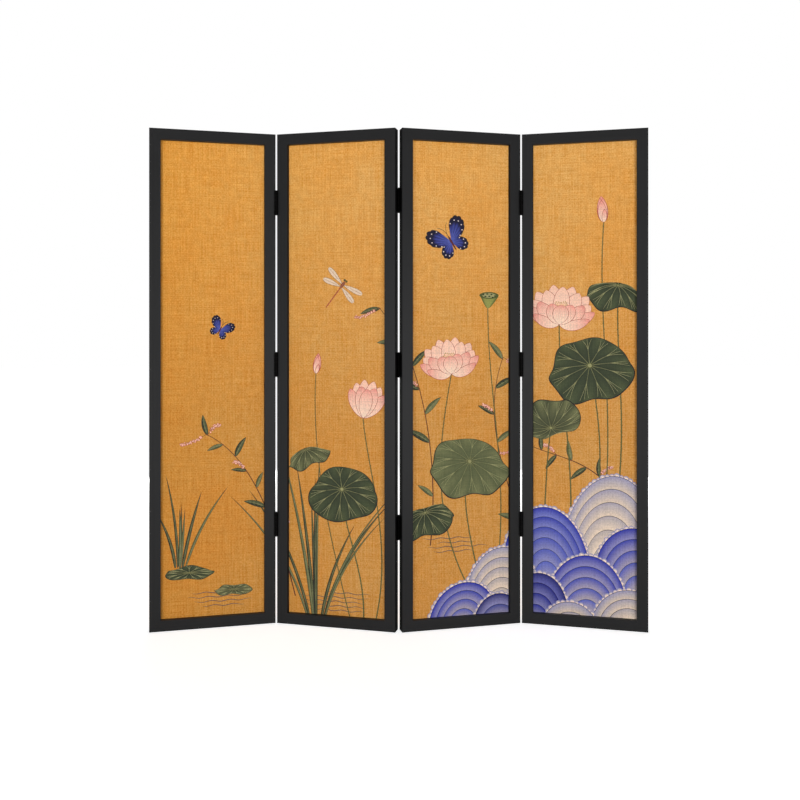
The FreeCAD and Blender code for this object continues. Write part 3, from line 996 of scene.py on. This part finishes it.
@dataclass
class Picture:
    """The painting across all the cloths: places, heights in layers, paints and faces of each patch."""

    cell: float = 7 * MM
    span: Pair = (1.9, 1.9)
    parts: list[tuple[Array, ...]] = field(default_factory=list)
    count: int = 0

    def __post_init__(self) -> None:
        """Starts with no paint in any cell of the picture."""
        self.layers = np.zeros([int(side / self.cell) for side in self.span], int)

    def add(self, motif: object) -> None:
        """Paints a motif: each of its patches, or group of them, lies over all that it crosses."""
        near = np.stack(np.meshgrid([-1, 0, 1], [-1, 0, 1]), -1).reshape(-1, 2)
        for group in motif.patches():
            group = group if isinstance(group, tuple) else (group,)
            places = np.concatenate([patch.points.reshape(-1, 2) for patch in group])
            cells = (np.floor(places / self.cell).astype(int)[:, None] + near).reshape(-1, 2)
            cells = tuple(np.clip(cells, 0, np.array(self.layers.shape) - 1).T)
            base = 1 + self.layers[cells].max()
            self.layers[cells] = base + int(np.ceil(max(patch.rise.max() for patch in group)))
            for patch in group:
                shapes, rows, columns = patch.rise.shape
                starts = self.count + np.arange(shapes)[:, None, None] * rows * columns
                faces = (grid_faces(rows, columns) + starts).reshape(-1, 4)
                heights = base + patch.rise.ravel()
                self.parts.append((patch.points.reshape(-1, 2), heights, patch.paints.reshape(-1, 4), faces))
                self.count += patch.rise.size

    def on_window(self, shift: float, low: Array, high: Array) -> tuple[Array, Array, Array, Array]:
        """What of the picture falls on one cloth.

        Args:
            shift: how far right on the picture the panel's left edge is.
            low: the cloth's lower left corner in the panel.
            high: the cloth's upper right corner in the panel.

        Returns:
            Places across and up, heights in layers, paints, and faces, from the lowest layer to the highest.
        """
        places, heights, paints, faces = (np.concatenate(part) for part in zip(*self.parts))
        places = places - (shift, 0)
        inside = ((places > low) & (places < high)).all(1)
        used, faces = np.unique(faces[inside[faces].any(1)], return_inverse=True)
        places, heights, paints = places[used].clip(low, high), heights[used], paints[used]
        faces = faces.reshape(-1, 4)
        ring = places[faces]
        after = np.roll(ring, -1, axis=1)
        area = (ring[..., 0] * after[..., 1] - ring[..., 1] * after[..., 0]).sum(1) / 2
        faces = np.where((area < 0)[:, None], faces[:, ::-1], faces)[np.abs(area) > 1e-10]
        return places, heights, paints, faces[np.argsort(heights[faces].mean(1), kind="stable")]


def compose() -> Picture:
    """Paints a lotus pond that gathers at the lower right and thins out to the left."""
    light = {"pale": Paint.LEAF_LIGHT}
    motifs = (
        Ripples((0.24, 0.10), 0.30, 4, 5),
        Ripples((0.68, 0.09), 0.34, 5, 6),
        Ripples((1.10, 0.30), 0.26, 4, 7),
        Sedge((0.60, 0.00), 0.66, 11, 26, -2, 4),
        Sedge((0.11, 0.22), 0.34, 7, 30, 6, 8),
        Knotweed(((1.02, 0.30), (1.06, 0.62), (0.98, 1.00), (0.84, 1.16)), 9, 0.085, 3),
        Knotweed(((1.40, 0.24), (1.34, 0.50), (1.20, 0.72), (1.30, 0.98)), 7, 0.075, 9),
        Knotweed(((0.52, 0.10), (0.44, 0.40), (0.36, 0.62), (0.20, 0.70)), 8, 0.07, 12),
        Knotweed(((1.74, 0.40), (1.66, 0.62), (1.50, 0.60), (1.38, 0.66)), 7, 0.07, 15),
        Stem(((1.52, 0.20), (1.58, 0.50), (1.50, 0.80), (1.50, 1.10))),
        Stem(((1.64, 0.30), (1.72, 0.70), (1.63, 1.10), (1.66, 1.47)), 4.5 * MM, 3.5 * MM),
        Stem(((1.60, 0.25), (1.66, 0.50), (1.66, 0.70), (1.61, 0.94))),
        Stem(((1.68, 0.30), (1.76, 0.70), (1.70, 0.90), (1.71, 1.22))),
        Stem(((1.40, 0.10), (1.46, 0.30), (1.44, 0.50), (1.47, 0.72))),
        Stem(((1.22, 0.08), (1.20, 0.25), (1.13, 0.40), (1.16, 0.60))),
        Stem(((1.20, 0.08), (1.00, 0.40), (1.06, 0.70), (1.10, 0.92)), 4.8 * MM, 3.6 * MM),
        Stem(((1.26, 0.10), (1.34, 0.50), (1.24, 0.80), (1.24, 1.16)), 4.8 * MM, 3.4 * MM),
        Stem(((0.78, 0.00), (0.80, 0.20), (0.70, 0.35), (0.70, 0.50))),
        Stem(((0.82, 0.00), (0.90, 0.30), (0.80, 0.55), (0.78, 0.76)), 4.8 * MM, 3.6 * MM),
        Stem(((0.74, 0.00), (0.66, 0.30), (0.58, 0.60), (0.60, 0.92)), 4.0 * MM, 2.8 * MM),
        LotusLeaf((1.71, 1.24), 0.115, 8, 22, 0.45, 0.10, 5, 0.4),
        LotusLeaf((1.61, 0.95), 0.150, -6, 52, 0.22, 0.08, 5, 1.1),
        LotusLeaf((1.47, 0.72), 0.120, -14, 34, -0.34, 0.10, 6, 2.0, **light),
        LotusLeaf((1.17, 0.60), 0.150, 10, 46, 0.25, 0.08, 5, 0.2, deep=Paint.LEAF, **light),
        LotusLeaf((1.00, 0.42), 0.105, -16, 30, 0.42, 0.10, 5, 2.6),
        LotusLeaf((0.70, 0.50), 0.130, -8, 50, 0.26, 0.08, 6, 1.7),
        LotusLeaf((0.56, 0.64), 0.085, -20, 20, 0.46, 0.09, 5, 0.9, **light),
        LotusLeaf((0.14, 0.20), 0.085, 0, 17, 0.02, 0.05, 4, 0.7),
        LotusLeaf((0.30, 0.13), 0.070, 0, 16, 0.02, 0.05, 5, 1.9, **light),
        Lotus((1.50, 1.10), 0.23, 6),
        Lotus((1.10, 0.92), 0.21, -8),
        Lotus((0.78, 0.76), 0.14, 10, True),
        LotusBud((1.66, 1.47), 0.095, -6),
        LotusBud((0.60, 0.92), 0.075, 8),
        SeedPod((1.24, 1.16), 0.075, 6),
        Swell((1.67, 0.18), 0.36, 0.36, 0.08, Water.PEARL, 7),
        Swell((1.46, 0.12), 0.32, 0.31, -0.08, Water.BRIGHT, 7),
        Swell((1.28, 0.04), 0.28, 0.24, 0.12, Water.PEARL, 6),
        Swell((1.79, 0.08), 0.32, 0.29, -0.12, Water.BLUE, 6),
        Swell((1.59, 0.00), 0.30, 0.26, 0.08, Water.BLUE, 6),
        Swell((1.41, -0.03), 0.25, 0.21, 0.05, Water.DEEP, 5),
        Swell((1.14, -0.02), 0.26, 0.18, 0.05, Water.BLUE, 5),
        Swell((1.29, -0.06), 0.22, 0.17, 0.00, Water.SLATE, 4),
        Swell((1.75, -0.05), 0.28, 0.19, -0.05, Water.PEARL, 5),
        Swell((1.54, -0.08), 0.22, 0.17, 0.00, Water.PEARL, 4),
        Butterfly((1.10, 1.40), 0.150, -32),
        Butterfly((0.25, 1.08), 0.085, 28),
        Dragonfly((0.70, 1.24), 0.150, 38),
    )
    picture = Picture()
    for motif in motifs:
        picture.add(motif)
    return picture


# The screen

class Face(Enum):
    """The two faces of a panel, and the way out of each along the panel's depth."""

    FRONT = -1
    BACK = 1


@dataclass
class Cloth:
    """A cloth drawn tight over the core board, and the paint on it."""

    panel: Panel
    face: Face
    silk: Material
    inset: float = 0.45 * MM
    ease: float = 0.03 * MM
    swing: float = 0.21
    pitch: float = 15 * MM
    fold_gap: float = 5.2 * MM
    layer: float = 0.012 * MM
    paint_gap: float = 0.03 * MM

    def __post_init__(self) -> None:
        """Takes the cloth's size from its CAD solid."""
        piece = f"{self.face.name.lower()}_cloth"
        self.node = self.panel.name(piece)
        self.low, self.high = self.panel.extent(piece)
        self.foot, self.head = self.low[[0, 2]], self.high[[0, 2]]
        self.shift = (self.panel.number - 1) * (self.panel.size[0] + self.fold_gap)

    def placed(self, x: Array, z: Array, proud: Array | float = 0.0) -> Array:
        """Points of the cloth's face: just inside its solid, with slow waves a hair deep, less the paint."""
        outer = self.low[1] if self.face is Face.FRONT else self.high[1]
        wave = np.sin(2 * pi * x / self.swing + self.panel.number) * np.sin(2 * pi * z / (1.6 * self.swing))
        return self.panel.placed(x, outer - self.face.value * (self.inset + self.ease * wave - proud), z)

    def dressed(self, piece: Object, x: Array, z: Array, paints: Array) -> None:
        """Gives a piece on the cloth the weave's map, its paint, its silk and its body."""
        add_map(piece, "weave", np.stack([x, z], -1) + (self.shift + self.face.value, 0))
        piece.data.attributes.new("paint", "FLOAT_COLOR", "POINT").data.foreach_set("color", paints.ravel())
        piece.data.materials.append(self.silk)
        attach(piece, self.panel.body)

    def build(self) -> Object:
        """Makes the cloth as a grid in its solid's place."""
        columns, rows = (int(side / self.pitch) + 2 for side in self.head - self.foot)
        spans = (np.linspace(self.foot[k], self.head[k], count) for k, count in enumerate((columns, rows)))
        x, z = (values.ravel() for values in np.meshgrid(*spans))
        faces = grid_faces(rows, columns)
        if self.face is Face.BACK:
            faces = faces[:, ::-1]
        cloth = new_piece(f"{self.node}_silk", self.placed(x, z), faces)
        add_map(cloth, "OFBake", (np.stack([x, z], -1) - self.foot) / (self.head - self.foot))
        self.dressed(cloth, x, z, np.zeros((len(x), 4)))
        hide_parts(self.node)
        return cloth

    def paint(self, picture: Picture) -> Object:
        """Lays the picture's patches on the cloth, layer over layer."""
        places, heights, paints, faces = picture.on_window(self.shift, self.foot, self.head)
        x, z = places.T
        room = (self.inset - self.ease - self.paint_gap) / heights.max()
        points = self.placed(x, z, self.paint_gap + heights * min(self.layer, room * 0.9))
        piece = new_piece(self.panel.name("painting"), points, faces)
        self.dressed(piece, x, z, paints)
        log.info("%s: %d faces in %d layers", piece.name, len(faces), heights.max())
        return piece

    def declare(self, cloth: Object, *on_it: Object) -> None:
        """Names the core board under the cloth, and does nothing more."""
        board = self.panel.name("core_board")


@dataclass
class Brads:
    """The small domed nail heads that hold the back beads."""

    panel: Panel
    steel: Material
    radius: float = 1.5 * MM
    crown: float = 0.5 * MM
    sunk: float = 0.3 * MM
    spacing: float = 0.19
    setback: float = 3.0 * MM
    corner: float = 0.03

    def build(self) -> Object:
        """Makes each head as rings that rise by 1 - r^2 from the bead to the crown."""
        low, high = self.panel.extent("back_beads")
        left, foot = low[[0, 2]] + self.setback
        right, head = high[[0, 2]] - self.setback
        across, ups = (
            np.linspace(start + self.corner, end - self.corner, int((end - start) / self.spacing) + 1)
            for start, end in ((left, right), (foot, head))
        )
        sides = [np.meshgrid([left, right], ups), np.meshgrid(across, [foot, head])]
        x, z = np.concatenate([np.stack(side, -1).reshape(-1, 2) for side in sides]).T[..., None, None]
        turns, reach = np.meshgrid(np.linspace(0, 2 * pi, 13)[:-1], [1.0, 1.0, 0.8, 0.45, 0.0])
        rise = np.where(np.arange(5)[:, None] == 0, -self.sunk, self.crown * (1 - 0.9 * reach**2))
        spread = self.radius * reach
        y = np.broadcast_to(high[1] + rise, (len(x), *rise.shape))
        points = self.panel.placed(x + spread * np.cos(turns), y, z + spread * np.sin(turns))
        index = np.arange(60).reshape(5, 12)
        after = np.roll(index, -1, axis=1)
        quads = np.stack([index[:-1], index[1:], after[1:], after[:-1]], -1).reshape(-1, 4)
        faces = (quads + np.arange(len(x))[:, None, None] * 60).reshape(-1, 4)
        piece = new_piece(self.panel.name("bead_brads"), points.reshape(-1, 3), faces)
        piece.data.materials.append(self.steel)
        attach(piece, self.panel.body)
        return piece


@dataclass
class Screen:
    """The whole screen: four dressed panels and the hinges between them."""

    panels: int = 4

    def build(self) -> None:
        """Builds and dresses every panel, then the hinges."""
        silk, steel, plywood = Silk().build(), BlackSteel().build(), Plywood().build()
        picture = compose()
        for panel in (Panel(number) for number in range(1, self.panels + 1)):
            front = Cloth(panel, Face.FRONT, silk)
            cloth, painting = front.build(), front.paint(picture)
            front.declare(cloth, painting)
            back = Cloth(panel, Face.BACK, silk)
            back.declare(back.build())
            Brads(panel, steel).build()
            left, right = (Lacquer(Run.UPRIGHT, panel.turn, outward).build() for outward in (-1, 1))
            coats = {"left_stile": left, "right_stile": right, "core_board": plywood, "hinge_screws": steel}
            level = Lacquer(Run.LEVEL, panel.turn).build()
            coats |= dict.fromkeys(("top_rail", "bottom_rail", "back_beads"), level)
            for piece, coat in coats.items():
                frame["nodes"][panel.name(piece)].material_slots[0].material = coat
            log.info("panel %d dressed", panel.number)
        for name, node in frame["nodes"].items():
            if "leaf" in name or "pins" in name:
                node.material_slots[0].material = steel
                log.info("%s dressed", name)


# The studio

@dataclass
class Studio:
    """The floor, the lights and the camera.

    The floor lights itself by lift, from the lower share near the screen to the higher one beyond the lamps'
    reach, so that it looks evenly white.
    """

    eye: tuple[float, float, float] = (0.0, -3.3908, 1.0486)
    lens: float = 41.88
    shift: Pair = (0.0016, -0.0770)
    sky: float = 0.2
    ends: float = 13.9
    narrowness: float = 48.0
    white: tuple = (1, 1, 1, 1)
    floor_half: float = 30.0
    floor_tone: tuple = pigment(240, 240, 240)
    lift: Pair = (0.74, 0.79)
    lift_reach: Pair = (3.0, 6.0)
    lamp_place: tuple[float, float, float] = (1.6, 3.8, 0.64)
    lamp_aim: tuple[float, float, float] = (0.0, 0.0, 0.8)
    lamp_size: Pair = (1.3, 1.2)
    lamp_power: float = 38.0

    def camera(self) -> None:
        """Sets the camera level at the photograph's place."""
        data = bpy.data.cameras.new("camera")
        data.lens, data.sensor_width = self.lens, 36.0
        data.shift_x, data.shift_y = self.shift
        camera = linked("camera", data)
        camera.location = self.eye
        camera.rotation_euler = (pi / 2, 0, 0)
        bpy.context.scene.camera = camera

    def seen_directly(self, nodes: Nodes) -> Socket:
        """One for rays from the camera and for those that a gloss or glass sends on."""
        path = nodes.add("LightPath").outputs
        rays = nodes.math("MAXIMUM", path["Is Glossy Ray"], path["Is Transmission Ray"])
        return nodes.math("MAXIMUM", path["Is Camera Ray"], rays)

    def world(self) -> None:
        """Soft light from all round, stronger from straight ahead and behind, on a white ground."""
        world = bpy.data.worlds.new("studio")
        nodes = Nodes(world)
        along = nodes.add("SeparateXYZ", Vector=nodes.add("TexCoord").outputs["Generated"]).outputs[1]
        lobe = nodes.math("POWER", nodes.math("ABSOLUTE", along), self.narrowness)
        strength = nodes.math("MULTIPLY_ADD", lobe, self.ends, self.sky)
        light = nodes.add("Background", Color=self.white, Strength=strength)
        ground = nodes.add("Background", Color=self.white, Strength=1.0)
        mix = nodes.join("MixShader", light, ground, Fac=self.seen_directly(nodes))
        nodes.add("OutputWorld", Surface=mix)
        bpy.context.scene.world = world

    def floor(self) -> Object:
        """A wide pale floor that takes a shadow and looks white."""
        corners = self.floor_half * np.array([[-1, -1, 0], [1, -1, 0], [1, 1, 0], [-1, 1, 0]])
        floor = new_piece("floor", corners, np.array([[0, 1, 2, 3]]))
        nodes = Nodes(bpy.data.materials.new("studio_floor"))
        plain = nodes.add("BsdfDiffuse", Color=self.floor_tone)
        distance = nodes.math("LENGTH", nodes.add("TexCoord").outputs["Object"], kind="VectorMath")
        lift = nodes.range(distance, *self.lift_reach, *self.lift)
        strength = nodes.math("MULTIPLY", self.seen_directly(nodes), lift)
        glow = nodes.add("Emission", Color=self.white, Strength=strength)
        nodes.add("OutputMaterial", Surface=nodes.join("AddShader", plain, glow))
        floor.data.materials.append(nodes.owner)
        floor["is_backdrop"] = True
        return floor

    def lamp(self, name: str, side: int, end: int) -> None:
        """One soft rectangular lamp to a side and an end of the screen, aimed at its middle."""
        data = bpy.data.lights.new(name, "AREA")
        data.shape = "RECTANGLE"
        data.size, data.size_y = self.lamp_size
        data.energy = self.lamp_power
        lamp = linked(name, data)
        lamp.visible_camera = False
        lamp.location = np.array(self.lamp_place) * (side, end, 1)
        x, y, z = np.array(self.lamp_aim) - lamp.location
        lamp.rotation_euler = (np.arctan2(np.hypot(x, y), -z), 0, np.arctan2(y, x) - pi / 2)

    def build(self) -> None:
        """Sets everything up, with plain colours in the view."""
        self.camera()
        self.world()
        self.floor()
        for end, where in ((-1, "front"), (1, "back")):
            for side, hand in ((-1, "left"), (1, "right")):
                self.lamp(f"{where}_{hand}", side, end)
        bpy.context.scene.view_settings.view_transform = "Standard"
        log.info("studio built")


def main() -> None:
    """Builds the studio and the screen, and works out both boxes."""
    logging.basicConfig(level=logging.INFO, format="%(message)s")
    Studio().build()
    Screen().build()
    boxes = {"cad": CAD_BOUNDS, "visual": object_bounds()}
    plain = {name: [[float(value) for value in corner] for corner in box] for name, box in boxes.items()}


if __name__ == "__main__":
    main()
